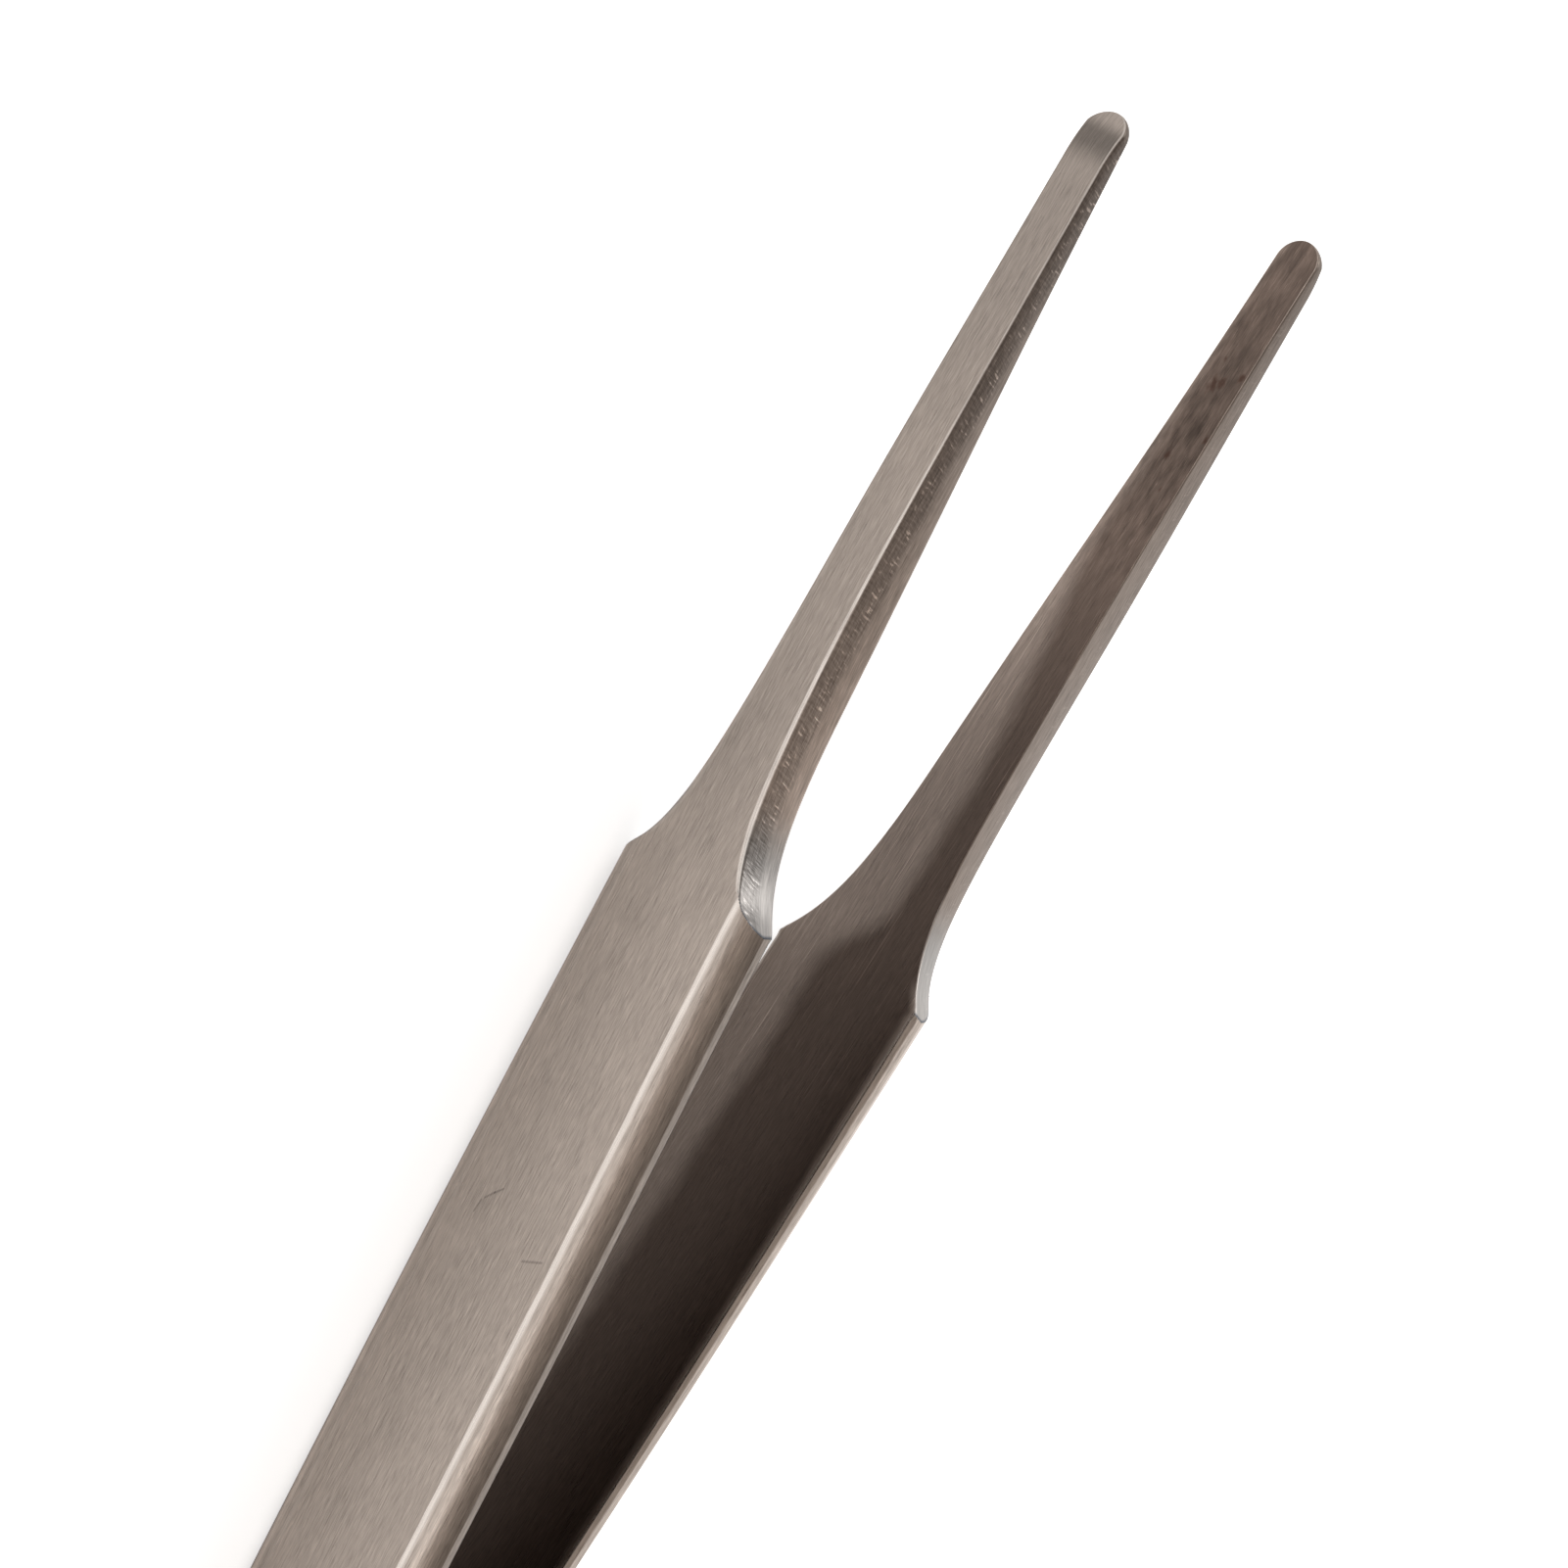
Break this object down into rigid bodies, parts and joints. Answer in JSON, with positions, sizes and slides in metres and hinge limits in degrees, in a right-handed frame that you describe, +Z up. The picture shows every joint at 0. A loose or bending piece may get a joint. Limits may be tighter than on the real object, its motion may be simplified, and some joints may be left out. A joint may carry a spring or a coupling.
{
  "type": "round tip tweezers",
  "caption": "Slim stainless steel tweezers with bowed flat arms, narrow ground blades and rounded flat tips, for picking up small parts and wafers.",
  "frame": {"origin": "on the surface that the tweezers lie on, below the middle of their length, between the arms", "axes": "+X along the tweezers towards the tips, +Y from the right arm to the left arm, +Z up across the width of the arms"},
  "size_m": [0.12, 0.0154, 0.0115],
  "materials": {
    "stainless_steel": "satin, brushed along the arms, ground across the sides of the blades"
  },
  "bodies": {
    "root": {"left_arm": "stainless_steel", "right_arm": "stainless_steel"}
  },
  "joints": []
}
